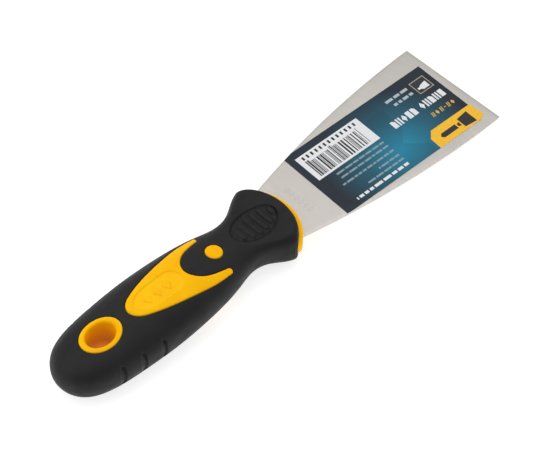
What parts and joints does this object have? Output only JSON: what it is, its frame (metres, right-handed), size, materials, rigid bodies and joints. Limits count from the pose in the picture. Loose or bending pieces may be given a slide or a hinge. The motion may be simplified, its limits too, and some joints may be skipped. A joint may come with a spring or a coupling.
{
  "type": "putty knife",
  "caption": "Two-inch putty knife: stiff flared stainless blade with a paper label, tang held in a yellow core with a black soft grip, thumb rests and an oval hang hole.",
  "frame": {"origin": "centre of the whole knife in plan, at the height of the lowest point of the grip's back face", "axes": "+X from the butt of the handle to the blade's working edge, +Z out of the labelled face, +Y across the blade"},
  "size_m": [0.212, 0.0508, 0.0213],
  "materials": {
    "blade_steel": "fine straight grain across the blade, satin",
    "core_plastic": "moulded, unseen inside the grip",
    "grip_rubber": "satin overmoulded elastomer with a fine moulded texture",
    "accent_plastic": "semi-gloss moulded plastic",
    "rivet_steel": "plain turned steel, unseen",
    "label_paper": "coated paper sticker printed with a dark blue to teal ground"
  },
  "bodies": {
    "root": {"blade": "blade_steel", "handle_core": "core_plastic", "soft_grip": "grip_rubber", "front_collar": "accent_plastic", "front_inlay": "accent_plastic", "back_inlay": "accent_plastic", "front_rivet_cap": "accent_plastic", "back_rivet_cap": "accent_plastic", "hang_hole_liner": "accent_plastic", "front_tang_rivet": "rivet_steel", "rear_tang_rivet": "rivet_steel", "blade_label": "label_paper"}
  },
  "joints": []
}
